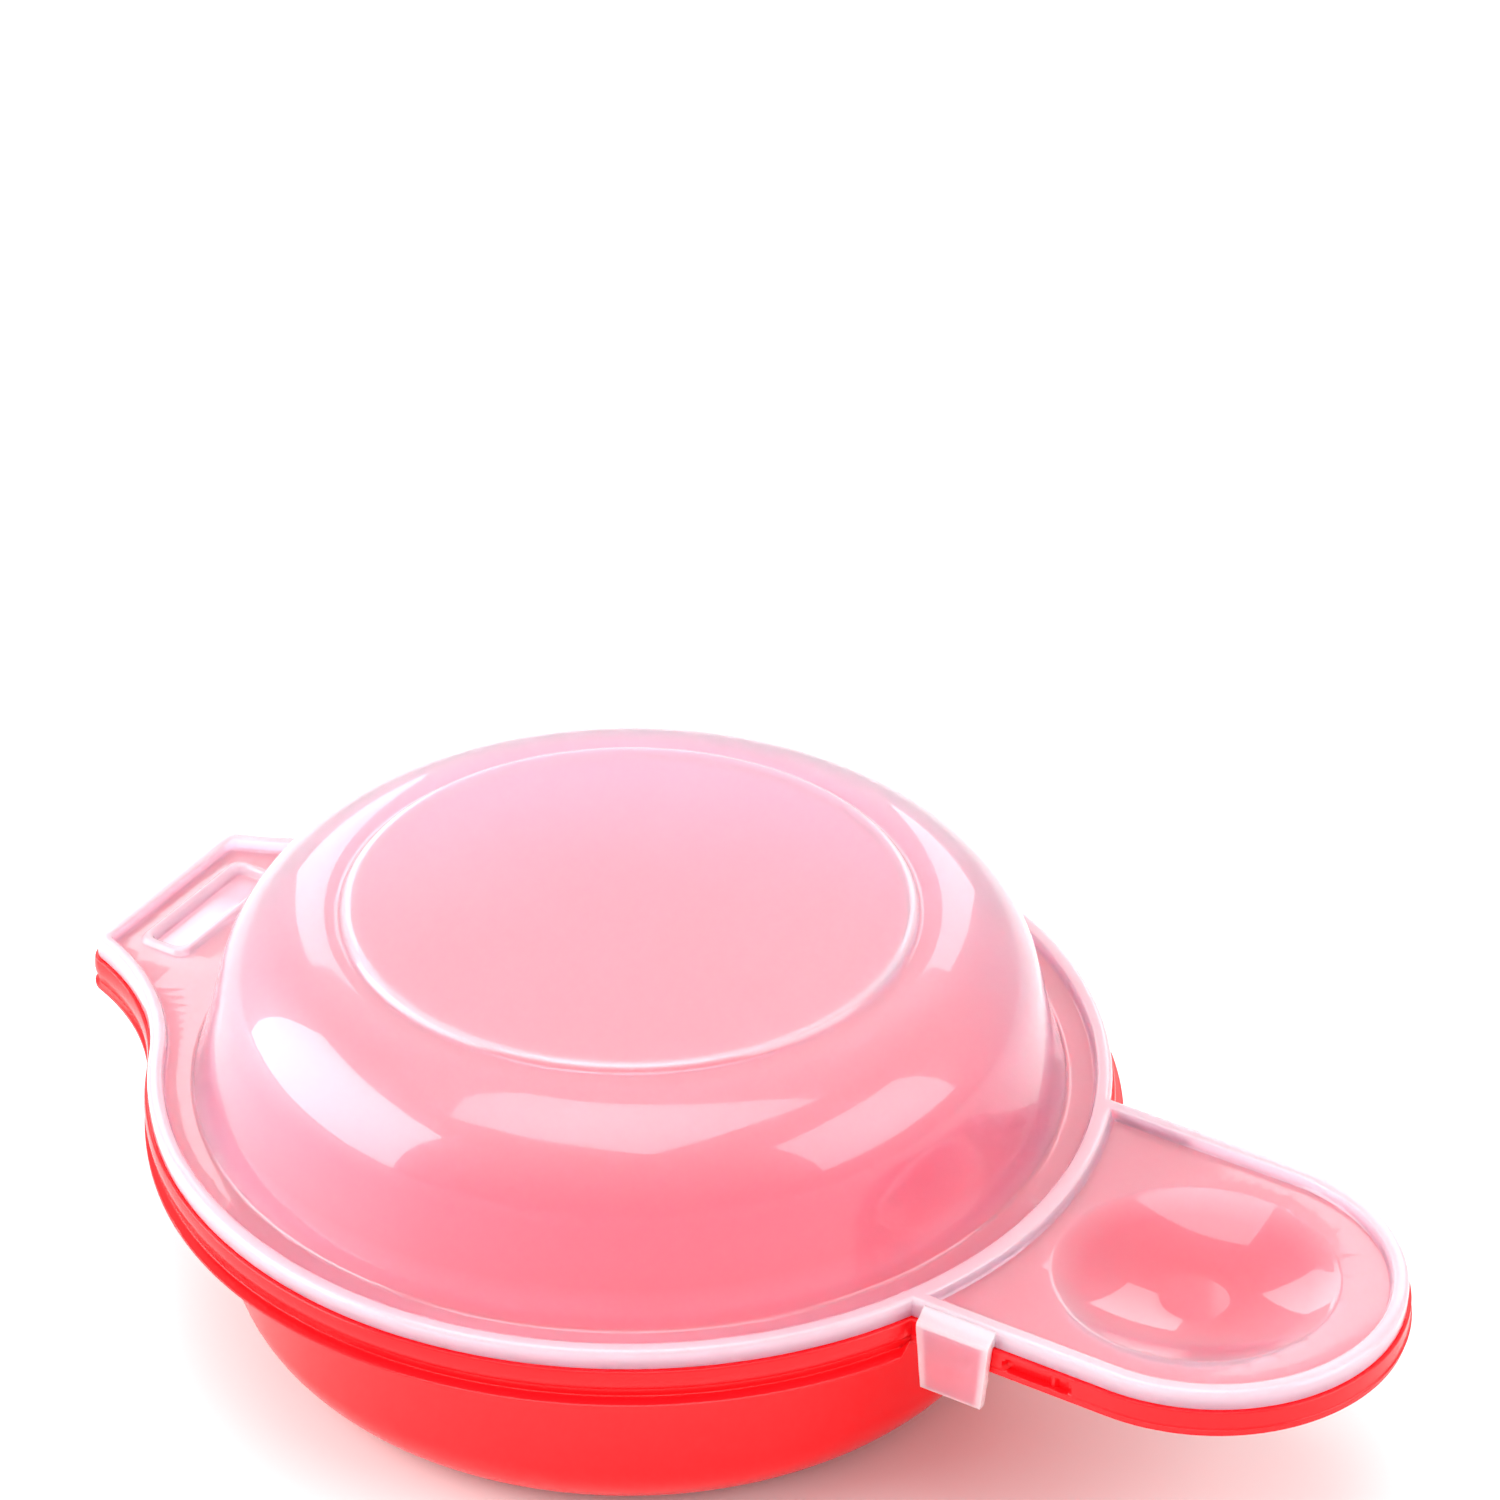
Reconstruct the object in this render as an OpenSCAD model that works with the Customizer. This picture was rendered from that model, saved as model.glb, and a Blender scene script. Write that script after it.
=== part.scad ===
// Microwave egg cooker: a round bowl with a handle and a slotted hinge tab, closed by a domed lid.
// The lid hooks through the slot, turns on the outer edge of the tab, and is held shut at the
// handle by two flexing clips. Millimetres. The origin is the centre of the bowl's flat underside,
// +X points along the handle, +Z points up.

/* [Rim and joint face] */
// Outer radius of the lid's rim
rim_r = 66; // [60:0.5:72]
// Height of the face where the lid meets the base
seat_h = 35.2; // [31:0.1:40]
// Gap between the closed lid and the base
seat_gap = 0.15; // [0.1:0.05:0.3]

/* [Bowl] */
// Outer radius of the bowl's wall, 5 mm below the joint face
bowl_r = 59.7; // [58:0.1:60.5]
// Draft of the bowl's wall in degrees
bowl_draft = 10.3; // [7:0.1:12]
// Outer radius of the round edge at the foot of the bowl
bowl_fillet = 12.4; // [6:0.1:14]
// Thickness of the bowl's wall and floor
bowl_wall = 1.7; // [1.4:0.1:2.2]
// Radius of the bowl's mouth at the top of its chamfer
mouth_r = 62.5; // [62:0.1:63]

/* [Base flange] */
// Thickness of the flange, handle plate and tab plate
flange_t = 1.75; // [1.5:0.05:2]
// Depth of the turned-down edge under the rim and the tab
rim_skirt = 4.9; // [4.6:0.1:5.6]
// Depth of the turned-down edge under the handle
handle_skirt = 4; // [3.6:0.1:4.6]
// Thickness of the turned-down edge
skirt_t = 1.5; // [1.2:0.1:1.8]
// How far the ledge at the foot of the rim stands out past the lid
ledge_out = 1.8; // [1:0.1:2]

/* [Handle] */
// Distance from the bowl's axis to the centre of the handle's round end
handle_x = 89.5; // [82:0.5:95]
// Half of the lid handle's width, and the radius of its end
handle_r = 26.5; // [25:0.1:28]
// How far the base's handle and tab stand out past the lid's
base_out = 0.4; // [0.2:0.1:0.6]
// Distance from the bowl's axis to the centre of the finger dish
dish_x = 88; // [86:0.5:90]
// Radius of the finger dish's opening in the lid
dish_open = 19; // [16:0.5:20]
// Depth of the finger dish in the lid
dish_depth = 4.5; // [3:0.25:5]

/* [Hinge tab] */
// Distance from the bowl's axis to the outer edge of the lid's tab
tab_x = 79.6; // [79:0.1:82]
// Radius of the hollow sides that blend the tab into the rim
neck_r = 40.7; // [38:0.1:42]
// Radius of the tab's outer corners
tab_corner = 3; // [2:0.1:4]
// Distance from the bowl's axis to the inner edge of the slot
slot_inner_x = 67.4; // [67.2:0.1:67.8]
// Distance from the bowl's axis to the bar outside the slot
slot_outer_x = 74.7; // [74.5:0.1:74.9]
// Length of the slot
slot_length = 21.8; // [18:0.2:24]

/* [Lid] */
// Thickness of the lid
lid_t = 1.3; // [1.1:0.1:1.5]
// Height of the bead that runs round the lid's edge
bead_h = 2.8; // [2.2:0.1:3.2]
// Width of the bead
bead_w = 2.0; // [1.6:0.2:2]
// Radius of the dome where it leaves the rim
dome_r = 59.9; // [58:0.1:60.5]
// Lean of the dome's wall in degrees
dome_lean = 14.3; // [12:0.1:20]
// Height of the dome's shoulder ring above the joint face
dome_h = 27.45; // [24:0.05:30]
// Radius of the dome's shoulder
shoulder_r = 15.3; // [11:0.1:18]
// Radius of the raised disc on top
plateau_r = 38.9; // [34:0.1:40]
// How far the raised disc stands up
plateau_up = 1; // [0.6:0.1:1.4]

/* [Hinge frame] */
// Width of the raised frame round the pocket in the lid's tab
frame_w = 1.6; // [1.2:0.1:2]
// How far the frame stands up from the plate
frame_up = 0.9; // [0.5:0.1:1.2]
// Half of the frame's length
frame_half = 12.2; // [11.8:0.1:12.6]

/* [Clips] */
// Length of a clip below the joint face
clip_l = 9.2; // [8:0.1:11]
// Thickness of a clip
clip_t = 1.2; // [1:0.1:1.4]
// Width of a clip at its root
clip_w = 10.7; // [9:0.1:12]
// How much narrower a clip is at its free end
clip_taper = 1.8; // [1:0.1:3]
// Gap between a clip and the base handle's side
clip_gap = 0.5; // [0.5:0.05:0.7]

/* [Hidden] */
$fn = 96;

far = 200;                      // longer than any cut needs
base_top = -seat_gap;           // top of the base's flange, from the joint face
flange_low = base_top - flange_t;
step = 0.4;                     // small steps, chamfers and run-outs
run = 0.3;                      // clearance between the two mouldings

// Tab outline: the neck circle touches the rim circle and the corner circle
neck_out = 11.8;                // how far the neck circle's centre lies beyond the tab's edge
neck_cx = tab_x + neck_out;
neck_cy = sqrt(pow(rim_r + neck_r, 2) - pow(neck_cx, 2));
corner_cx = tab_x - tab_corner;
corner_gap = neck_r + tab_corner - 0.03; // 0.03 less than touching, so that the two join
corner_cy = neck_cy - sqrt(pow(corner_gap, 2) - pow(neck_cx - corner_cx, 2));

// Bowl's foot: the centre of the round edge, tangent to the wall and the floor
foot_cz = bowl_fillet - seat_h;
foot_touch_z = foot_cz - bowl_fillet * sin(bowl_draft);
foot_cx = bowl_r + (foot_touch_z + 5) * tan(bowl_draft) - bowl_fillet * cos(bowl_draft);
floor_r = foot_cx - 4;

// Dome's shoulder: the centre of its round, tangent to the wall and the shoulder ring
shoulder_cz = dome_h - shoulder_r;
shoulder_touch_z = shoulder_cz + shoulder_r * sin(dome_lean);
shoulder_cx = dome_r - shoulder_touch_z * tan(dome_lean) - shoulder_r * cos(dome_lean);

// Hinge: the lid turns about the top outer edge of the tab
hinge_x = -(tab_x + run);
bar_r = -hinge_x - slot_outer_x;
hook_in = bar_r + run;
hook_out = -hinge_x - slot_inner_x - run;
hook_low = -5.2;
hook_wall = 1.2;
hook_half = slot_length / 2 - run;
pocket_depth = 0.65;
frame_out_x = 75;               // outer and inner side of the frame round the pocket
frame_in_x = 66.6;
tab_half = 31;                  // the tab ends here, short of where its outline meets the rim
bar_flat_x = -77.2;             // where the bar's flat top ends
edge_r = rim_r + base_out;
groove_r = edge_r - 0.3;
ledge_r = rim_r + ledge_out;
ledge_z = 0.5 - rim_skirt;
groove_z = -2.9;                // top of the shallow groove round the rim
slot_rebate = 1.5;              // shallow step round the slot
slot_rebate_depth = 0.7;

recess_x = 75.5;                // near end, length and half height of the hollow beside a clip
recess_l = 6.4;
recess_r = 1.1;

// Finger dish: concentric spheres for both mouldings
lid_dish_r = (pow(dish_open, 2) + pow(dish_depth, 2)) / (2 * dish_depth);
dish_cz = lid_t - dish_depth + lid_dish_r;
base_dish_r = lid_dish_r + lid_t + 0.4;

// Clips
clip_y = handle_r + base_out + clip_gap;
clip_x = 62.3;
clip_top = 0.4;
clip_axis_z = clip_top - clip_t / 2;
clip_mid = clip_y + clip_t / 2;
root_low = clip_top + 0.2;      // underside and outer top edge of a clip's fixed end
root_high = 0.9;

module at_seat() translate([0, 0, seat_h]) children();

// Outline of rim, handle and tab, moved inwards by o
module rim_outline(o) circle(rim_r - o, $fn = 180);

module handle_outline(o) {
    translate([handle_x, 0]) circle(handle_r - o);
    translate([0, o - handle_r]) square([handle_x, 2 * (handle_r - o)]);
}

module tab_outline(o) {
    intersection() {
        square([far, 2 * (tab_half + o)], center = true);
        tab_neck(o);
    }
    for (s = [-1, 1]) translate([-corner_cx, s * corner_cy]) circle(tab_corner - o);
    translate([o - tab_x, -corner_cy]) square([tab_corner - o, 2 * corner_cy]);
}

module tab_neck(o) {
    difference() {
        polygon([[-corner_cx, corner_cy], [-neck_cx, neck_cy], [0, 0],
                 [-neck_cx, -neck_cy], [-corner_cx, -corner_cy]]);
        for (s = [-1, 1]) translate([-neck_cx, s * neck_cy]) circle(neck_r + o);
    }
}

module slab(z0, z1) translate([0, 0, z0]) linear_extrude(z1 - z0) children();

// Flat part and round edge, about the centre of the round; the round ends where the side leans by a
module edge_section(r, t, a, flat) {
    translate([-flat, r - t]) square([flat, t]);
    intersection() {
        difference() {
            circle(r);
            circle(r - t);
        }
        square(far);
        rotate(a) square(far);
    }
}

module foot_section() translate([foot_cx, foot_cz]) mirror([0, 1])
    edge_section(bowl_fillet, bowl_wall, bowl_draft, foot_cx - floor_r);

// Leaning wall of the bowl, with the flange and the mouth's chamfers at its top
module bowl_section() {
    c = cos(bowl_draft);
    inner = bowl_fillet - bowl_wall;
    polygon([[foot_cx + bowl_fillet * c, foot_touch_z], [side_x(flange_low), flange_low],
             [mouth_r, flange_low], [mouth_r, base_top], [mouth_r - 1, base_top - 0.75],
             [mouth_r - 2.2, base_top - 0.95], [side_x(flange_low) - bowl_wall / c, flange_low],
             [foot_cx + inner * c, foot_cz - inner * sin(bowl_draft)]]);
}

// Outer radius of the bowl's wall at height z
function side_x(z) = bowl_r + (z + 5) * tan(bowl_draft);

module dome_section() {
    c = cos(dome_lean);
    inner = shoulder_r - lid_t;
    polygon([[dome_r - lid_t / c, 0], [dome_r, 0], [shoulder_cx + shoulder_r * c, shoulder_touch_z],
             [shoulder_cx + inner * c, shoulder_cz + inner * sin(dome_lean)]]);
}

module shoulder_section() translate([shoulder_cx, shoulder_cz])
    edge_section(shoulder_r, lid_t, dome_lean, shoulder_cx - plateau_r);

module plateau_section() {
    top = dome_h + plateau_up;
    inner = plateau_r - lid_t;
    polygon([[0, top], [plateau_r - step, top], [plateau_r, top - step], [plateau_r, dome_h - lid_t],
             [inner, dome_h - lid_t], [inner, top - lid_t], [0, top - lid_t]]);
}

// Half section of the base's rim: flange edge, groove and ledge round a hollow underside
module rim_section() {
    inner = rim_r - skirt_t;
    polygon([[mouth_r, base_top], [edge_r, base_top], [edge_r, groove_z], [groove_r, groove_z],
             [groove_r, ledge_z], [ledge_r, ledge_z], [ledge_r, -rim_skirt], [inner, -rim_skirt],
             [inner, flange_low], [mouth_r, flange_low]]);
}

// Everything inside the rim's outer faces
module inside_rim() {
    slab(groove_z, 1) circle(edge_r, $fn = 180);
    slab(-far, 1) circle(groove_r, $fn = 180);
    slab(-far, ledge_z) circle(ledge_r, $fn = 180);
}

module dish(r) translate([dish_x, 0, dish_cz]) sphere(r, $fn = 120);

module base_bowl_wall() color("red") at_seat() rotate_extrude($fn = 180) bowl_section();

module base_bowl_foot() color("red") at_seat() rotate_extrude($fn = 180) foot_section();

module base_bowl_floor() color("red") cylinder(r = floor_r, h = bowl_wall, $fn = 180);

module base_rim() color("red") at_seat() rotate_extrude($fn = 180) rim_section();

// A plate with a turned-down edge, cut off at the base's rim
module base_wing(low) {
    difference() {
        slab(low, base_top) children(0);
        slab(low - 1, flange_low) children(1);
        inside_rim();
    }
}

module base_handle() color("red") at_seat() {
    difference() {
        base_wing(-handle_skirt) {
            handle_outline(-base_out);
            handle_outline(skirt_t - base_out);
        }
        dish(base_dish_r);
        for (s = [-1, 1]) side_recess(s);
    }
    intersection() {
        difference() {
            dish(base_dish_r + bowl_wall);
            dish(base_dish_r);
        }
        slab(-far, flange_low) handle_outline(skirt_t - base_out);
    }
}

// Long shallow hollow in the handle's side, just past each clip
module side_recess(s) {
    for (x = [recess_x, recess_x + recess_l])
        translate([x, s * (handle_r + base_out), flange_low]) rotate([90, 0, 0])
            cylinder(r = recess_r, h = 2 * step, center = true);
    translate([recess_x + recess_l / 2, s * (handle_r + base_out), flange_low])
        cube([recess_l, 2 * step, 2 * recess_r], center = true);
}

module base_hinge_tab() color("red") at_seat() {
    difference() {
        base_wing(-rim_skirt) {
            tab_outline(-base_out);
            tab_outline(skirt_t - base_out);
        }
        slot_block(slot_outer_x + step, slot_inner_x, slot_length, -far, 1);
        slot_block(-bar_flat_x, slot_inner_x + 1, slot_length + 2 * slot_rebate,
                   base_top - slot_rebate_depth, 1);
    }
    hinge_bar();
}

module slot_block(x0, x1, length, z0, z1)
    translate([-x0, -length / 2, z0]) cube([x0 - x1, length, z1 - z0]);

// Bar outside the slot: a round about the hinge line, with its inner top edge rounded off
module hinge_bar() {
    inner_x = skirt_t - base_out - tab_x;
    rotate([90, 0, 0]) linear_extrude(slot_length + 2 * step, center = true) intersection() {
        translate([hinge_x, 0]) circle(bar_r);
        translate([inner_x - step, -rim_skirt])
            square([bar_r + step, rim_skirt + base_top - slot_rebate_depth]);
    }
}

module lid_dome_wall() color("pink") at_seat() rotate_extrude($fn = 180) dome_section();

module lid_dome_shoulder() color("pink") at_seat() rotate_extrude($fn = 180) shoulder_section();

module lid_dome_top() color("pink") at_seat() rotate_extrude($fn = 180) plateau_section();

// Plate with a raised bead along its edge
module beaded() {
    slab(0, lid_t) children(0);
    slab(lid_t, bead_h) difference() {
        children(0);
        children(1);
    }
}

// Outer radius of the dome's wall at height z
function dome_side(z) = dome_r - z * tan(dome_lean);

module lid_rim() color("mistyrose") at_seat() difference() {
    union() {
        slab(0, lid_t) rim_outline(0);
        slab(lid_t, bead_h) difference() {
            rim_outline(0);
            rim_outline(bead_w);
            tab_outline(bead_w);
        }
    }
    translate([0, 0, -1])
        cylinder(r1 = dome_side(-1), r2 = dome_side(bead_h + 1), h = bead_h + 2, $fn = 180);
}

module lid_handle() color("mistyrose") at_seat() {
    difference() {
        union() {
            beaded() {
                handle_outline(0);
                handle_outline(bead_w);
            }
            for (s = [-1, 1]) clip_root(s);
        }
        dish(lid_dish_r);
        slab(-1, far) rim_outline(0);
    }
    intersection() {
        difference() {
            dish(lid_dish_r + lid_t);
            dish(lid_dish_r);
        }
        slab(-far, 0) handle_outline(bead_w);
    }
}

// Fixed end of a clip: a wedge on the side of the lid's handle that slopes down from the bead
module clip_root(s) translate([clip_x, 0, 0]) rotate([90, 0, 90]) linear_extrude(clip_w)
    polygon([[s * (handle_r - bead_w), root_low], [s * (clip_y + clip_t), root_low],
             [s * (clip_y + clip_t), root_high], [s * handle_r, bead_h - step],
             [s * (handle_r - bead_w), bead_h - step]]);

module lid_hinge_tab() color("mistyrose") at_seat() difference() {
    union() {
        beaded() {
            tab_outline(0);
            tab_outline(bead_w);
        }
        slot_block(frame_out_x, frame_in_x, 2 * frame_half, lid_t - pocket_depth, lid_t + frame_up);
    }
    slab(-1, far) rim_outline(0);
    slot_block(frame_out_x - frame_w, frame_in_x + frame_w, 2 * (frame_half - frame_w),
               lid_t - pocket_depth, far);
}

// Hook below the lid's tab, hollow from below: its faces are arcs about the hinge line
module lid_hinge_hook() color("mistyrose") at_seat() difference() {
    hook_block(hook_in, hook_out, hook_half, hook_low, 0);
    hook_block(hook_in + hook_wall, hook_out - hook_wall, hook_half - hook_wall,
               hook_low - 1, -hook_wall);
}

module hook_block(r0, r1, half, z0, z1)
    rotate([90, 0, 0]) linear_extrude(2 * half, center = true) intersection() {
        translate([hinge_x, 0]) difference() {
            circle(r1);
            circle(r0);
        }
        translate([hinge_x, z0]) square([far, z1 - z0]);
    }

// Tapered clip plate with a low inward ridge that passes just clear of the base's handle
module latch_clip(s) at_seat() translate([clip_x, 0, 0]) {
    translate([0, s * clip_mid, clip_axis_z]) {
        rotate([0, 90, 0]) cylinder(r = clip_t / 2, h = clip_w);
        rotate([90, 0, 0]) linear_extrude(clip_t, center = true) polygon([
            [0, 0], [clip_w, 0], [clip_w - clip_taper / 2, -clip_l - clip_axis_z],
            [clip_taper / 2, -clip_l - clip_axis_z]]);
    }
    translate([clip_taper, s * clip_y, -handle_skirt - 1]) rotate([0, 90, 0])
        cylinder(r = 0.2, h = clip_w - 2 * clip_taper);
}

module latch_clip_left() color("lightpink") latch_clip(1);

module latch_clip_right() color("lightpink") latch_clip(-1);

base_bowl_wall();
base_bowl_foot();
base_bowl_floor();
base_rim();
base_handle();
base_hinge_tab();
lid_dome_wall();
lid_dome_shoulder();
lid_dome_top();
lid_rim();
lid_handle();
lid_hinge_tab();
lid_hinge_hook();
latch_clip_left();
latch_clip_right();
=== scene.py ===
import math

import bpy
from mathutils import Matrix, Quaternion, Vector
from mathutils.geometry import delaunay_2d_cdt


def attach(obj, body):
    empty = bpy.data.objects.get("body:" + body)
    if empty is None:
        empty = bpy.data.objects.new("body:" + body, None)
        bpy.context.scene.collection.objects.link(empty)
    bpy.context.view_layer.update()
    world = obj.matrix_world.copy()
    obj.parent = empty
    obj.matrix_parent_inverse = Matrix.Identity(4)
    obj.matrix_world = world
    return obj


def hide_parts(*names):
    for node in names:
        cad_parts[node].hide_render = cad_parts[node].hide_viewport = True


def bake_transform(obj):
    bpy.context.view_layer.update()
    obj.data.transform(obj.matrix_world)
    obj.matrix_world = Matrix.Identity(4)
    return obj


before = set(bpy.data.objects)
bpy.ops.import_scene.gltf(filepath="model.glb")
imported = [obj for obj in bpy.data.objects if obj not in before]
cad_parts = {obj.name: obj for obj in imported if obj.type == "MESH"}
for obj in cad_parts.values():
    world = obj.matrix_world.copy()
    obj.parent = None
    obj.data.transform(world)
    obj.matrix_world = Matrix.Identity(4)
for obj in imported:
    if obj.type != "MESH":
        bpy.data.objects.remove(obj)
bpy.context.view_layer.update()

# Sizes in millimetres. Heights are measured from the face where the lid meets the base.
MM = 0.001
SEAT_H = 35.2
RIM_R = 66.0
HANDLE_X, HANDLE_R = 89.5, 26.5
TAB_X, TAB_CORNER, NECK_R, NECK_OUT = 79.6, 3.0, 40.7, 11.8
BASE_TOP = -0.15
FLANGE_LOW = -1.9
MOUTH_R = 62.5
SLOT_IN, SLOT_OUT, SLOT_HALF = 67.4, 74.7, 10.9
DISH_X, DISH_CZ, LID_DISH_R = 88.0, 39.161, 42.361
LID_T = 1.3
CLIP_X0, CLIP_X1, CLIP_IN, CLIP_OUT = 62.3, 73.0, 27.4, 28.6
HINGE_X = -79.9

NECK_CX = TAB_X + NECK_OUT
NECK_CY = math.sqrt((RIM_R + NECK_R) ** 2 - NECK_CX ** 2)
CORNER_CX = TAB_X - TAB_CORNER
CORNER_CY = NECK_CY - math.sqrt((NECK_R + TAB_CORNER) ** 2 - (NECK_CX - CORNER_CX) ** 2)
NECK_A = math.atan2(NECK_CY, -NECK_CX)
CORNER_A = math.atan2(CORNER_CY - NECK_CY, NECK_CX - CORNER_CX)

# Points along each side of the handle, round its end and along each half of the rim
SIDE_POINTS, END_POINTS, RIM_POINTS = 64, 60, 84


# Outlines, as closed loops of points
def arc(cx, cy, r, a0, a1, n):
    """n points along an arc, from a0 up to but not including a1."""
    return [(cx + r * math.cos(a0 + (a1 - a0) * i / n), cy + r * math.sin(a0 + (a1 - a0) * i / n))
            for i in range(n)]


def line(p, q, n):
    return [(p[0] + (q[0] - p[0]) * i / n, p[1] + (q[1] - p[1]) * i / n) for i in range(n)]


def circle(r, n=192, cx=0.0, cy=0.0):
    return arc(cx, cy, r, 0.0, 2 * math.pi, n)


def tab_part(o):
    """Neck, corner, outer edge, corner, neck: from the rim's tangent point round to its mirror."""
    up = arc(-NECK_CX, NECK_CY, NECK_R + o, NECK_A - math.pi, CORNER_A, 30)
    up += arc(-CORNER_CX, CORNER_CY, TAB_CORNER - o, CORNER_A + math.pi, math.pi, 8)
    edge = line((o - TAB_X, CORNER_CY), (o - TAB_X, -CORNER_CY), 16)
    down = [(x, -y) for x, y in reversed(up)]
    last = (-(RIM_R - o) * math.cos(math.pi - NECK_A), -(RIM_R - o) * math.sin(math.pi - NECK_A))
    return up + edge + [(o - TAB_X, -CORNER_CY)] + down[:-1] + [last]


def handle_corner(o):
    y = HANDLE_R - o
    return math.sqrt((RIM_R - o) ** 2 - y * y), y


def outline(o):
    """Rim, handle and tab, moved inwards by o. Always the same number of points."""
    x, y = handle_corner(o)
    a = math.atan2(y, x)
    pts = line((x, -y), (HANDLE_X, -y), SIDE_POINTS)
    pts += arc(HANDLE_X, 0, y, -math.pi / 2, math.pi / 2, END_POINTS)
    pts += line((HANDLE_X, y), (x, y), SIDE_POINTS)
    pts += arc(0, 0, RIM_R - o, a, NECK_A, RIM_POINTS)
    pts += tab_part(o)
    pts += arc(0, 0, RIM_R - o, -NECK_A, -a, RIM_POINTS)[1:]
    return pts


def rim_pocket(o):
    """Inside of the bead round the dome and the tab."""
    return arc(0, 0, RIM_R - o, -NECK_A, NECK_A, 176)[1:] + tab_part(o)


def handle_pocket(o, bead):
    """Inside of the bead round the handle; bead is o at the top of the bead's inner face."""
    y = HANDLE_R - o
    r = RIM_R + o - bead
    x = math.sqrt(r * r - y * y)
    a = math.atan2(y, x)
    pts = line((x, -y), (HANDLE_X, -y), 14)
    pts += arc(HANDLE_X, 0, y, -math.pi / 2, math.pi / 2, 56)
    pts += line((HANDLE_X, y), (x, y), 14)
    return pts + arc(0, 0, r, a, -a, 24)


def block(x0, x1, half, n=6):
    """Rectangle between x0 and x1, counter-clockwise."""
    return (line((x0, -half), (x1, -half), n) + line((x1, -half), (x1, half), n * 3)
            + line((x1, half), (x0, half), n) + line((x0, half), (x0, -half), n * 3))


def rounded(x0, x1, half, r, n=8):
    """Rectangle with round corners between x0 and x1, counter-clockwise."""
    pts = []
    for k, (cx, cy) in enumerate(((x1 - r, half - r), (x0 + r, half - r), (x0 + r, r - half),
                                  (x1 - r, r - half))):
        pts += arc(cx, cy, r, k * math.pi / 2, (k + 1) * math.pi / 2, n)
        pts.append((cx + r * math.cos((k + 1) * math.pi / 2), cy + r * math.sin((k + 1) * math.pi / 2)))
    return pts


def inside(p, loop):
    hit = False
    for (x0, y0), (x1, y1) in zip(loop, loop[1:] + loop[:1]):
        if (y0 > p[1]) != (y1 > p[1]) and p[0] < (x1 - x0) * (p[1] - y0) / (y1 - y0) + x0:
            hit = not hit
    return hit


class Shell:
    """Vertices and faces of one moulding, built from closed loops.
    Milk says how much the plastic scatters light there: the thick edges of the lid look whiter."""

    def __init__(self):
        self.verts, self.faces, self.milk = [], [], []

    def loop(self, pts, z, milk=0.0):
        start = len(self.verts)
        zs = z if isinstance(z, list) else [z] * len(pts)
        self.verts += [(x, y, h) for (x, y), h in zip(pts, zs)]
        self.milk += milk if isinstance(milk, list) else [milk] * len(pts)
        return list(range(start, len(self.verts)))

    def bridge(self, a, b):
        """Quads from loop a to loop b; seen from outside, b lies to the left of a's direction."""
        n = len(a)
        for i in range(n):
            j = (i + 1) % n
            self.faces.append((a[i], a[j], b[j], b[i]))

    def chain(self, loops):
        for a, b in zip(loops, loops[1:]):
            self.bridge(a, b)

    def fill(self, outer, holes=(), up=True):
        """Flat face between an outer loop and holes."""
        rings = [outer] + list(holes)
        index = [i for ring in rings for i in ring]
        flat = [Vector(self.verts[i][:2]) for i in index]
        edges, start = [], 0
        for ring in rings:
            n = len(ring)
            edges += [(start + k, start + (k + 1) % n) for k in range(n)]
            start += n
        loops = [[self.verts[i][:2] for i in ring] for ring in rings]
        pts, _, tris, origin, _, _ = delaunay_2d_cdt(flat, edges, [], 0, 1e-7)
        back = [index[o[0]] for o in origin]
        for tri in tris:
            c = sum((pts[k] for k in tri), Vector((0, 0))) / 3
            if inside(c, loops[0]) and not any(inside(c, h) for h in loops[1:]):
                a, b, d = (back[k] for k in tri)
                pa, pb, pd = (pts[k] for k in tri)
                turn = (pb - pa).cross(pd - pa)
                self.faces.append((a, b, d) if (turn > 0) == up else (a, d, b))

    def cap(self, loop, up=True):
        self.faces.append(tuple(loop) if up else tuple(reversed(loop)))

    def solid(self, loops):
        """Closed solid from loops stacked upwards."""
        self.cap(loops[0], up=False)
        self.chain(loops)
        self.cap(loops[-1])


def made(name, shell, body, nodes, material, sharp=38):
    mesh = bpy.data.meshes.new(name)
    lift = Matrix.Translation((0, 0, SEAT_H * MM)) @ Matrix.Scale(MM, 4)
    mesh.from_pydata([lift @ Vector(v) for v in shell.verts], [], shell.faces)
    mesh.attributes.new("milk", "FLOAT", "POINT").data.foreach_set("value", shell.milk)
    mesh.validate()
    mesh.update()
    mesh.shade_smooth()
    mesh.set_sharp_from_angle(angle=math.radians(sharp))
    piece = bpy.data.objects.new(name, mesh)
    bpy.context.scene.collection.objects.link(piece)
    even = piece.modifiers.new("even_normals", "WEIGHTED_NORMAL")
    even.keep_sharp = True
    even.weight = 80
    mesh.materials.append(material)
    if body:
        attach(piece, body)
    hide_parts(*nodes)
    return piece


def lathe(profile, shell, n=192, cx=0.0):
    """Loops for (radius, height) or (radius, height, milk) rows about a vertical axis."""
    return [shell.loop(circle(row[0], n, cx), *row[1:]) for row in profile]


def round_profile(cx, cz, r, a0, a1, n):
    return [(cx + r * math.cos(math.radians(a0 + (a1 - a0) * i / n)),
             cz + r * math.sin(math.radians(a0 + (a1 - a0) * i / n))) for i in range(n + 1)]


def dish(r_open, z_open, r_sphere, soft, rings=18):
    """(radius, height) pairs of a spherical dish, eased into the flat round it."""
    pairs = []
    for k in range(rings):
        r = r_open * math.sqrt(1 - k / rings)
        gap = DISH_CZ - math.sqrt(r_sphere ** 2 - r * r) - z_open
        ease = max(soft - abs(gap), 0.0) ** 2 / (4 * soft)
        pairs.append((r, z_open + min(gap, 0.0) - ease))
    pairs[0] = (r_open, z_open)
    return pairs


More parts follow.
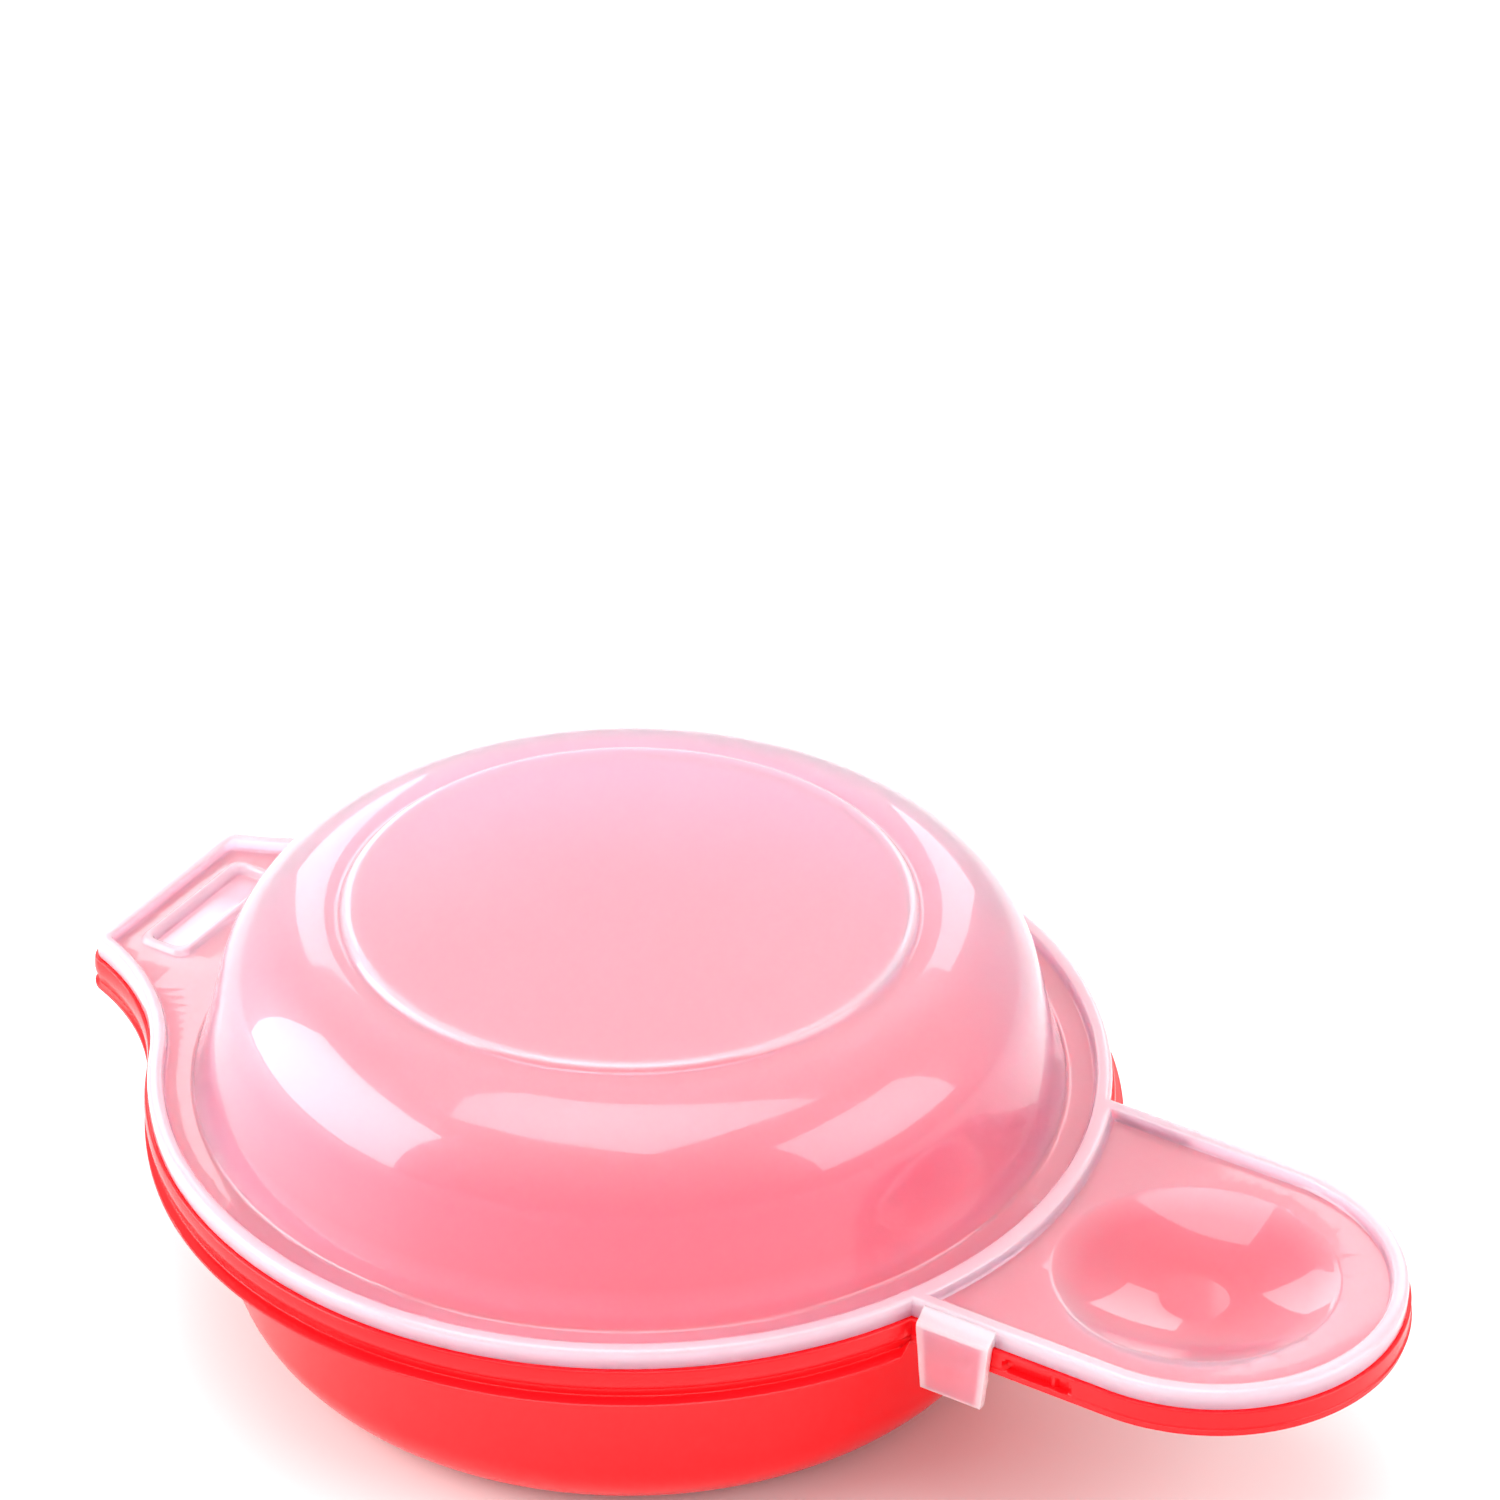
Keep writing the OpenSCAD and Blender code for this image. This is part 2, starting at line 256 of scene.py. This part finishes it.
# Materials
def nodes_of(name):
    mat = bpy.data.materials.new(name)
    mat.use_nodes = True
    tree = mat.node_tree
    shader = tree.nodes["Principled BSDF"]
    coord = tree.nodes.new("ShaderNodeTexCoord")
    return mat, tree, shader, coord


def noise(tree, coord, scale, detail=3.0):
    tex = tree.nodes.new("ShaderNodeTexNoise")
    tex.inputs["Scale"].default_value = scale
    tex.inputs["Detail"].default_value = detail
    tree.links.new(coord.outputs["Object"], tex.inputs["Vector"])
    return tex


def ramp(tree, source, low, high, lo=0.35, hi=0.65):
    node = tree.nodes.new("ShaderNodeValToRGB")
    node.color_ramp.elements[0].position = lo
    node.color_ramp.elements[0].color = low
    node.color_ramp.elements[1].position = hi
    node.color_ramp.elements[1].color = high
    tree.links.new(source, node.inputs["Fac"])
    return node


def vary(tree, source, low, high):
    node = tree.nodes.new("ShaderNodeMapRange")
    node.inputs["To Min"].default_value = low
    node.inputs["To Max"].default_value = high
    tree.links.new(source, node.inputs["Value"])
    return node


def bump(tree, shader, source, strength, distance):
    node = tree.nodes.new("ShaderNodeBump")
    node.inputs["Strength"].default_value = strength
    node.inputs["Distance"].default_value = distance
    tree.links.new(source, node.inputs["Height"])
    tree.links.new(node.outputs["Normal"], shader.inputs["Normal"])


def red_plastic():
    mat, tree, shader, coord = nodes_of("red_polypropylene")
    cloud = noise(tree, coord, 18.0)
    tint = ramp(tree, cloud.outputs["Fac"], (0.80, 0.003, 0.006, 1), (0.86, 0.005, 0.009, 1))
    tree.links.new(tint.outputs["Color"], shader.inputs["Base Color"])
    gloss = vary(tree, noise(tree, coord, 60.0).outputs["Fac"], 0.16, 0.24)
    tree.links.new(gloss.outputs["Result"], shader.inputs["Roughness"])
    shader.inputs["IOR"].default_value = 1.49
    shader.inputs["Specular IOR Level"].default_value = 0.28
    shader.inputs["Subsurface Weight"].default_value = 0.12
    shader.inputs["Subsurface Radius"].default_value = (0.002, 0.0004, 0.0004)
    shader.inputs["Subsurface Scale"].default_value = 1.0
    bump(tree, shader, noise(tree, coord, 260.0, 2.0).outputs["Fac"], 0.04, 0.0002)
    return mat


# (height, tint) of the lid's plastic: its own pale pink with a painted red glow mixed in, standing in for
# red light from the base shining through it, deepest low down and on the dome's wall
LID_PINK_AND_PAINTED_GLOW = [(-5.0, (1.0, 0.28, 0.40, 1)), (-0.5, (1.0, 0.40, 0.56, 1)), (1.3, (1.0, 0.72, 0.88, 1)),
         (3.5, (1.0, 0.62, 0.82, 1)), (7.0, (1.0, 0.44, 0.62, 1)), (15.0, (1.0, 0.45, 0.65, 1)),
         (24.0, (1.0, 0.67, 0.83, 1)), (30.0, (1.0, 0.76, 0.90, 1))]
GLOW_LOW, GLOW_HIGH = LID_PINK_AND_PAINTED_GLOW[0][0], LID_PINK_AND_PAINTED_GLOW[-1][0]


def clear_plastic():
    mat, tree, shader, coord = nodes_of("natural_polypropylene")
    cloud = noise(tree, coord, 22.0)
    cloudy = ramp(tree, cloud.outputs["Fac"], (1.0, 0.95, 0.97, 1), (1.0, 1.0, 1.0, 1))
    # painted red glow: the colour is made redder by height where the plastic lies close to the base,
    # standing in for red light from the base that shows through it
    apart = tree.nodes.new("ShaderNodeSeparateXYZ")
    tree.links.new(coord.outputs["Object"], apart.inputs["Vector"])
    height = tree.nodes.new("ShaderNodeMapRange")
    height.inputs["From Min"].default_value = (SEAT_H + GLOW_LOW) * MM
    height.inputs["From Max"].default_value = (SEAT_H + GLOW_HIGH) * MM
    tree.links.new(apart.outputs["Z"], height.inputs["Value"])
    # ramp of the painted red glow by height, from the stops above
    depth = ramp(tree, height.outputs["Result"], LID_PINK_AND_PAINTED_GLOW[0][1], LID_PINK_AND_PAINTED_GLOW[-1][1], 0.0, 1.0)
    for z, colour in LID_PINK_AND_PAINTED_GLOW[1:-1]:
        depth.color_ramp.elements.new((z - GLOW_LOW) / (GLOW_HIGH - GLOW_LOW)).color = colour
    tint = tree.nodes.new("ShaderNodeMix")
    tint.data_type = "RGBA"
    tint.blend_type = "MULTIPLY"
    tint.inputs["Factor"].default_value = 1.0
    tree.links.new(depth.outputs["Color"], tint.inputs["A"])
    tree.links.new(cloudy.outputs["Color"], tint.inputs["B"])
    milk = tree.nodes.new("ShaderNodeAttribute")
    milk.attribute_name = "milk"
    whiter = tree.nodes.new("ShaderNodeMix")
    whiter.data_type = "RGBA"
    whiter.inputs["B"].default_value = (1.0, 0.80, 0.81, 1)
    tree.links.new(milk.outputs["Fac"], whiter.inputs["Factor"])
    tree.links.new(tint.outputs["Result"], whiter.inputs["A"])
    tree.links.new(whiter.outputs["Result"], shader.inputs["Base Color"])
    through = vary(tree, milk.outputs["Fac"], 0.86, 0.35)
    tree.links.new(through.outputs["Result"], shader.inputs["Transmission Weight"])
    gloss = vary(tree, noise(tree, coord, 70.0).outputs["Fac"], 0.34, 0.42)
    tree.links.new(gloss.outputs["Result"], shader.inputs["Roughness"])
    shader.inputs["IOR"].default_value = 1.42
    shader.inputs["Subsurface Weight"].default_value = 1.0
    shader.inputs["Subsurface Radius"].default_value = (0.004, 0.0036, 0.0036)
    shader.inputs["Subsurface Scale"].default_value = 1.0
    shader.inputs["Coat Weight"].default_value = 1.0
    shader.inputs["Coat Roughness"].default_value = 0.035
    shader.inputs["Coat IOR"].default_value = 1.45
    bump(tree, shader, noise(tree, coord, 240.0, 2.0).outputs["Fac"], 0.02, 0.0002)
    return mat


def floor_paint():
    mat, tree, shader, coord = nodes_of("floor_paint")
    tint = ramp(tree, noise(tree, coord, 6.0).outputs["Fac"], (0.72, 0.716, 0.716, 1),
                (0.744, 0.744, 0.744, 1))
    tree.links.new(tint.outputs["Color"], shader.inputs["Base Color"])
    shader.inputs["Roughness"].default_value = 0.6
    return mat


RED = red_plastic()
CLEAR = clear_plastic()

# Base moulding
BOWL_R, FOOT_R = 59.7, 12.4
DRAFT = math.radians(10.3)
FOOT_CZ = FOOT_R - SEAT_H
FOOT_CX = BOWL_R + (FOOT_CZ - FOOT_R * math.sin(DRAFT) + 5) * math.tan(DRAFT)
FOOT_CX -= FOOT_R * math.cos(DRAFT)
WALL = 1.7
LEVEL_WALL = WALL * 1.014  # the bowl's wall leans, so a level cut through it is wider
# Hinge bar in the base's tab: inner side, half length, and outer radius about the hinge line
BAR_IN, BAR_HALF, BAR_R = -78.9, 11.3, 5.2
MARK_OUT, MARK_IN = 2.25, 2.05  # the ring round each ejector mark


def wall_r(z):
    return BOWL_R + (z + 5) * math.tan(DRAFT)


# (inset, height) of the skirt's section round the rim and round the handle, from the inside over
# the foot to the top; the face rows are close together so that the side hollows can be pressed in
RIM_FOOT = [(1.6, FLANGE_LOW), (1.35, -2.1), (1.25, -4.7), (1.1, -4.9), (-1.6, -4.9), (-1.8, -4.8),
            (-1.8, -4.6), (-1.6, -4.45), (-0.35, -4.3), (-0.12, -4.1), (-0.1, -3.1), (-0.25, -2.9)]
# The ledge under the rim fades to this inset along the tab, over this many points
TAB_LEDGE = -0.6
NECK_POINTS = 30
HANDLE_FOOT = [(1.6, FLANGE_LOW), (1.35, -2.1), (1.25, -3.8), (1.1, -4.0), (-0.25, -4.0),
               (-0.4, -3.85), (-0.42, -3.5), (-0.42, -3.2), (-0.46, -3.1), (-0.62, -3.0),
               (-0.62, -2.85), (-0.46, -2.75)]
FACE_ROWS = 12
# Long hollow in each side of the handle: middle, height, half length, end radius and depth
HOLLOW_X, HOLLOW_Z, HOLLOW_HALF, HOLLOW_R, HOLLOW_DEPTH = 79.4, -1.9, 3.8, 1.15, 0.9


def hollow(x, z):
    """Depth of the long hollow in the handle's side at a point, with a short rib across it."""
    dx = max(abs(x - HOLLOW_X) - HOLLOW_HALF, 0.0)
    d = math.hypot(dx, z - HOLLOW_Z)
    rib = 0.5 if abs(x - HOLLOW_X - 2.2) < 0.5 else 0.0
    return (HOLLOW_DEPTH - rib) * min(max((HOLLOW_R - d) / 0.2, 0.0), 1.0)


def skirt_rows():
    rows = list(zip(RIM_FOOT, HANDLE_FOOT))
    for k in range(FACE_ROWS + 1):
        t = k / FACE_ROWS
        z_rim, z_handle = -2.75 + 2.35 * t, -2.65 + 2.3 * t
        bulge = 0.14 * math.sin(math.pi * t)
        rows.append(((-0.45 - bulge, z_rim), (-0.42, z_handle)))
    rows.append(((-0.38, -0.25), (-0.34, -0.25)))
    rows.append(((-0.2, BASE_TOP), (-0.2, BASE_TOP)))
    return rows


def skirt_loop(shell, rim, handle):
    around = outline(rim[0])
    narrow = outline(max(rim[0], TAB_LEDGE))
    tab_start = 2 * SIDE_POINTS + END_POINTS + RIM_POINTS
    tab_end = tab_start + len(tab_part(0))
    for i in range(len(around)):
        away = max(tab_start - i, i - tab_end, 0) / NECK_POINTS
        mix = max(1 - away, 0.0) ** 2 * (1 + 2 * min(away, 1.0))
        around[i] = tuple(p + (q - p) * mix for p, q in zip(around[i], narrow[i]))
    zs = [rim[1]] * len(around)
    along = outline(handle[0])
    for i in range(2 * SIDE_POINTS + END_POINTS + 1):
        x, y = along[i]
        side = i < SIDE_POINTS or i > SIDE_POINTS + END_POINTS
        if side and handle[0] < 0 and -2.7 < handle[1] < -0.3:
            y -= math.copysign(hollow(x, handle[1]), y)
        around[i] = (x, y)
        zs[i] = handle[1]
    return shell.loop(around, zs)


def base_moulding():
    sh = Shell()
    skirt = [skirt_loop(sh, r, h) for r, h in skirt_rows()]
    sh.chain(skirt)
    # bowl outside
    foot = round_profile(FOOT_CX, FOOT_CZ, FOOT_R, -90, -math.degrees(DRAFT), 14)
    wall = [(wall_r(-12), -12), (wall_r(FLANGE_LOW), FLANGE_LOW)]
    out = lathe([(FOOT_CX - 0.6, -SEAT_H)] + foot + wall, sh)
    sh.cap(out[0], up=False)
    sh.chain(out)
    # slot, with a shallow step round it
    ledge = [(-77.2, -66.9, 12.4, BASE_TOP), (-77.0, -67.0, 12.25, BASE_TOP - 0.7),
             (-SLOT_OUT, -SLOT_IN, SLOT_HALF, BASE_TOP - 0.75),
             (-SLOT_OUT, -SLOT_IN, SLOT_HALF, FLANGE_LOW)]
    slot = [sh.loop(block(x0, x1, half), z) for x0, x1, half, z in ledge]
    sh.chain(slot)
    # finger dish
    top_dish = lathe(dish(20.5, BASE_TOP, LID_DISH_R + LID_T + 0.4, 0.3), sh, 144, DISH_X)
    sh.chain(top_dish)
    sh.cap(top_dish[-1])
    low_dish = lathe(dish(20.3, FLANGE_LOW, LID_DISH_R + LID_T + 2.0, 0.15), sh, 144, DISH_X)
    sh.chain(low_dish[::-1])
    sh.cap(low_dish[-1], up=False)
    # bowl inside
    inner = round_profile(FOOT_CX, FOOT_CZ, FOOT_R - WALL, -math.degrees(DRAFT), -90, 14)
    lip = [(MOUTH_R, BASE_TOP), (MOUTH_R - 0.12, BASE_TOP - 0.1), (61.55, -0.85), (61.4, -0.95),
           (60.4, -1.15), (60.2, -1.25), (59.05, -2.3), (wall_r(-2.7) - LEVEL_WALL, -2.7),
           (wall_r(-14) - LEVEL_WALL, -14)]
    mouth = lathe(lip + inner + [(FOOT_CX - 2.3, WALL - SEAT_H - 0.02)], sh)
    sh.chain(mouth)
    sh.cap(mouth[-1])
    sh.fill(skirt[-1], [mouth[0], top_dish[0], slot[0]])
    sh.fill(skirt[0], [out[-1], low_dish[0], slot[-1]], up=False)
    # bar that the lid's hook turns round
    bar = []
    for z in (-4.9, -4.4, -3.8, -3.0, -2.2, -1.6):
        bar_out = HINGE_X + math.sqrt(BAR_R ** 2 - z * z)
        bar.append(sh.loop(block(BAR_IN, bar_out, BAR_HALF, 2), z))
    sh.solid(bar)
    # ejector marks
    for x, y in ((-66.2, 16.2), (-66.2, -16.2), (63.9, 20.7), (63.9, -20.7)):
        ring = []
        for r, z in ((MARK_OUT, BASE_TOP - 0.1), (MARK_OUT, BASE_TOP + 0.05),
                     (MARK_IN, BASE_TOP + 0.05), (MARK_IN, BASE_TOP - 0.1)):
            ring.append(sh.loop(circle(r, 40, x, y), z))
        sh.chain(ring + ring[:1])
    return sh


# Lid moulding
SHOULDER_R, LEAN = 15.3, math.radians(14.3)
DOME_H, PLATEAU_R, PLATEAU_UP, DOME_R = 27.45, 38.9, 1.0, 59.9
DOME_FOOT_R = DOME_R - 0.33  # the dome leans in from DOME_R at height 0 to this on the lid's top
LEVEL_LID_T = LID_T * 1.032  # a level cut through the leaning dome wall
SHOULDER_CZ = DOME_H - SHOULDER_R
SHOULDER_CX = (DOME_R - (SHOULDER_CZ + SHOULDER_R * math.sin(LEAN)) * math.tan(LEAN)
               - SHOULDER_R * math.cos(LEAN))
BEAD_TOP, BEAD_IN = 2.8, 1.7
HOOK_IN, HOOK_OUT, HOOK_HALF, HOOK_WALL = 5.5, 12.2, 10.6, 1.2
# (outer side, inner side, half length, height) of the frame round the pocket in the tab
FRAME = [(75.2, 66.4, 12.4, LID_T), (74.95, 66.65, 12.15, 1.45), (74.75, 66.85, 11.95, 1.85),
         (74.45, 67.15, 11.65, 2.12), (74.15, 67.45, 11.35, 2.2), (73.85, 67.75, 11.05, 2.1),
         (73.6, 68.0, 10.8, 1.75), (73.45, 68.15, 10.65, 1.1), (73.2, 68.4, 10.4, 0.75),
         (72.8, 68.8, 10.0, 0.65)]


def hook_block(r0, r1, half, z, n=6):
    """Section at height z through the hook, whose faces are arcs about the hinge line."""
    return block(HINGE_X + math.sqrt(r0 * r0 - z * z), HINGE_X + math.sqrt(r1 * r1 - z * z), half, n)


def lid_moulding():
    sh = Shell()
    edge = [(0.15, 0.0), (0.04, 0.05), (0.0, 0.16), (0.0, 2.1), (0.06, 2.38), (0.2, 2.6),
            (0.43, 2.75), (0.7, BEAD_TOP)]
    rim = [sh.loop(outline(o), z, min(z, 1.0) / 2) for o, z in edge]
    sh.chain(rim)
    down = [(BEAD_IN, BEAD_TOP), (1.93, 2.73), (2.08, 2.55), (2.25, 1.75), (2.42, 1.45), (2.7, LID_T)]
    pocket = [sh.loop(rim_pocket(o), z, (z - LID_T) / 3) for o, z in down]
    sh.chain(pocket)
    plate = [sh.loop(handle_pocket(o, BEAD_IN), z, (z - LID_T) / 3)
             for o, z in down[:-1] + [(2.6, LID_T)]]
    sh.chain(plate)
    sh.fill(rim[-1], [pocket[0], plate[0]])
    # dome, outside
    shoulder = round_profile(SHOULDER_CX, SHOULDER_CZ, SHOULDER_R, math.degrees(LEAN), 90, 24)
    foot = [(DOME_FOOT_R + r, z) for r, z in ((0.75, LID_T), (0.3, 1.42), (0.05, 1.75))]
    top = [(PLATEAU_R + 0.9, DOME_H), (PLATEAU_R + 0.5, DOME_H + 0.04), (PLATEAU_R + 0.2, DOME_H + 0.18),
           (PLATEAU_R, DOME_H + 0.42, 0.1), (PLATEAU_R - 0.15, DOME_H + 0.68, 0.25),
           (PLATEAU_R - 0.4, DOME_H + 0.87, 0.35), (PLATEAU_R - 0.8, DOME_H + 0.97, 0.3),
           (PLATEAU_R - 1.3, DOME_H + PLATEAU_UP, 0.1), (PLATEAU_R - 2.2, DOME_H + PLATEAU_UP)]
    wall = [(DOME_R - 6 * math.tan(LEAN), 6.0)]
    dome = lathe(foot + wall + shoulder + top, sh)
    sh.chain(dome)
    sh.cap(dome[-1])
    # dome, inside
    under = round_profile(SHOULDER_CX, SHOULDER_CZ, SHOULDER_R - LID_T, 90, math.degrees(LEAN), 24)
    roof = [(33.0, DOME_H + PLATEAU_UP - LID_T), (PLATEAU_R - 1.5, DOME_H + PLATEAU_UP - LID_T),
            (PLATEAU_R - LID_T, DOME_H + PLATEAU_UP - LID_T - 0.2),
            (PLATEAU_R - 1.2, DOME_H - LID_T + 0.15), (PLATEAU_R - 0.9, DOME_H - LID_T)]
    cavity = lathe(roof + under + [(DOME_R - LEVEL_LID_T - 5 * math.tan(LEAN), 5.0),
                                   (DOME_R - LEVEL_LID_T, 0.0)], sh)
    sh.cap(cavity[0], up=False)
    sh.chain(cavity)
    # finger dish
    top_dish = lathe(dish(19.3, LID_T, LID_DISH_R, 0.18), sh, 144, DISH_X)
    sh.chain(top_dish)
    sh.cap(top_dish[-1])
    low_dish = lathe(dish(19.75, 0.0, LID_DISH_R + LID_T, 0.2), sh, 144, DISH_X)
    sh.chain(low_dish[::-1])
    sh.cap(low_dish[-1], up=False)
    # frame round a shallow pocket, and below it the hook that goes through the base's slot
    frame_loops = [sh.loop(rounded(-x0, -x1, half, 2.2 - k * 0.12), z, 0.38 if k else 0.15)
                   for k, (x0, x1, half, z) in enumerate(FRAME)]
    sh.chain(frame_loops)
    sh.cap(frame_loops[-1])
    hook = [sh.loop(hook_block(HOOK_IN, HOOK_OUT, HOOK_HALF, z), z)
            for z in (-5.2, -4.4, -3.4, -2.2, -1.1, 0.0)]
    sh.chain(hook)
    core = [sh.loop(hook_block(HOOK_IN + HOOK_WALL, HOOK_OUT - HOOK_WALL, HOOK_HALF - HOOK_WALL, z), z)
            for z in (-1.2, -2.2, -3.2, -4.2, -5.2)]
    sh.cap(core[0], up=False)
    sh.chain(core)
    sh.fill(hook[0], [core[-1]], up=False)
    sh.fill(pocket[-1], [dome[0], frame_loops[0]])
    sh.fill(plate[-1], [top_dish[0]])
    sh.fill(rim[0], [cavity[-1], low_dish[0], hook[-1]], up=False)
    return sh


# (height, inset of the two edges, inner face, outer face) of a clip, from its free end to the wedge
# that joins it to the lid's handle
CLIP_ROWS = [(-9.2, 0.95, 27.6, 28.45), (-9.08, 0.87, 27.4, 28.6), (-8.5, 0.81, 27.4, 28.6),
             (-7.8, 0.75, 27.4, 28.6), (-5.5, 0.5, 27.4, 28.6), (-5.2, 0.48, 27.22, 28.6),
             (-4.8, 0.46, 27.22, 28.6), (-4.5, 0.44, 27.4, 28.6), (-2.8, 0.28, 27.4, 28.6),
             (-2.1, 0.2, 27.4, 28.6), (-1.4, 0.14, 27.4, 28.6), (-0.7, 0.07, 27.4, 28.6),
             (0.0, 0.0, 27.4, 28.6), (0.4, 0.0, 27.3, 28.6), (0.6, 0.0, 26.0, 28.6),
             (0.85, 0.0, 26.0, 28.57), (1.1, 0.0, 26.0, 28.4), (2.3, 0.0, 26.0, 26.75),
             (2.5, 0.02, 26.0, 26.4)]
# (share of the way across a clip, how milky it looks there)
CLIP_ACROSS = [(0.0, 0.75), (0.06, 0.6), (0.13, 0.16), (0.5, 0.12), (0.87, 0.16), (0.94, 0.6), (1.0, 0.75)]


def clip_plate(side):
    """Clip from its free end up to its root; a low ridge runs across its inner face."""
    sh = Shell()
    rows = []
    for z, inset, y0, y1 in CLIP_ROWS:
        x0, width = CLIP_X0 + inset, CLIP_X1 - CLIP_X0 - 2 * inset
        end = 0.6 if z < -8.6 or z > 0.5 else 0.0
        inner = [(x0 + width * t, y0, max(milk, end)) for t, milk in CLIP_ACROSS]
        outer = [(x0 + width * t, y1, max(milk, end)) for t, milk in reversed(CLIP_ACROSS)]
        points = inner + outer
        if side < 0:
            points = [(x, -y, milk) for x, y, milk in reversed(points)]
        rows.append(sh.loop([p[:2] for p in points], z, [p[2] for p in points]))
    sh.solid(rows)
    return sh


made("base_moulding", base_moulding(), "base",
     ["base_bowl_wall", "base_bowl_foot", "base_bowl_floor", "base_rim", "base_handle",
      "base_hinge_tab"], RED)
made("lid_moulding", lid_moulding(), "lid",
     ["lid_dome_wall", "lid_dome_shoulder", "lid_dome_top", "lid_rim", "lid_handle",
      "lid_hinge_tab", "lid_hinge_hook"], CLEAR)
for side, name in ((1, "left"), (-1, "right")):
    clip = made("clip_" + name, clip_plate(side), None, ["latch_clip_" + name],
                CLEAR)
    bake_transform(clip)

# Stage
bpy.ops.mesh.primitive_plane_add(size=6, location=(0, 0, -0.0002))
floor = bpy.context.object
floor.name = "floor"
floor.data.materials.append(floor_paint())


def soft_box(name, place, aim, size, power, size_y=None):
    light = bpy.data.lights.new(name, "AREA")
    light.shape = "RECTANGLE"
    light.size = size
    light.size_y = size_y or size
    light.energy = power
    lamp = bpy.data.objects.new(name, light)
    bpy.context.scene.collection.objects.link(lamp)
    lamp.location = place
    lamp.rotation_mode = "QUATERNION"
    lamp.rotation_quaternion = (Vector(aim) - Vector(place)).to_track_quat("-Z", "Y")
    return lamp


soft_box("left_box", (-0.87, -0.56, 0.52), (0, 0, 0.4), 1.2, 23, 1.0)
soft_box("right_box", (0.98, 0.25, 0.66), (0, 0, 0.4), 0.9, 8, 0.8)
soft_box("back_left_box", (-0.86, 0.76, 0.62), (0, 0, 0.03), 0.32, 1.6, 0.5)
soft_box("back_right_box", (-0.25, 1.1, 0.62), (0, 0, 0.03), 0.32, 1.4, 0.5)
soft_box("top_box", (0, -0.1, 1.5), (0, 0, 0.03), 1.2, 15)

world = bpy.data.worlds.new("studio")
bpy.context.scene.world = world
world.use_nodes = True
world.node_tree.nodes["Background"].inputs["Color"].default_value = (1, 1, 1, 1)
world.node_tree.nodes["Background"].inputs["Strength"].default_value = 1.0

# Camera
lens = bpy.data.cameras.new("camera")
lens.lens = 152.10
lens.clip_start, lens.clip_end = 0.01, 20
camera = bpy.data.objects.new("camera", lens)
bpy.context.scene.collection.objects.link(camera)
camera.location = (0.38462, -0.59686, 0.50420 + SEAT_H * MM)
camera_aim = Vector((-0.02948, 0.07874, SEAT_H * MM))
camera.rotation_mode = "QUATERNION"
camera.rotation_quaternion = ((camera_aim - camera.location).to_track_quat("-Z", "Y")
                              @ Quaternion((0, 0, 1), math.radians(0.499)))
bpy.context.scene.camera = camera
bpy.context.scene.view_settings.view_transform = "Standard"
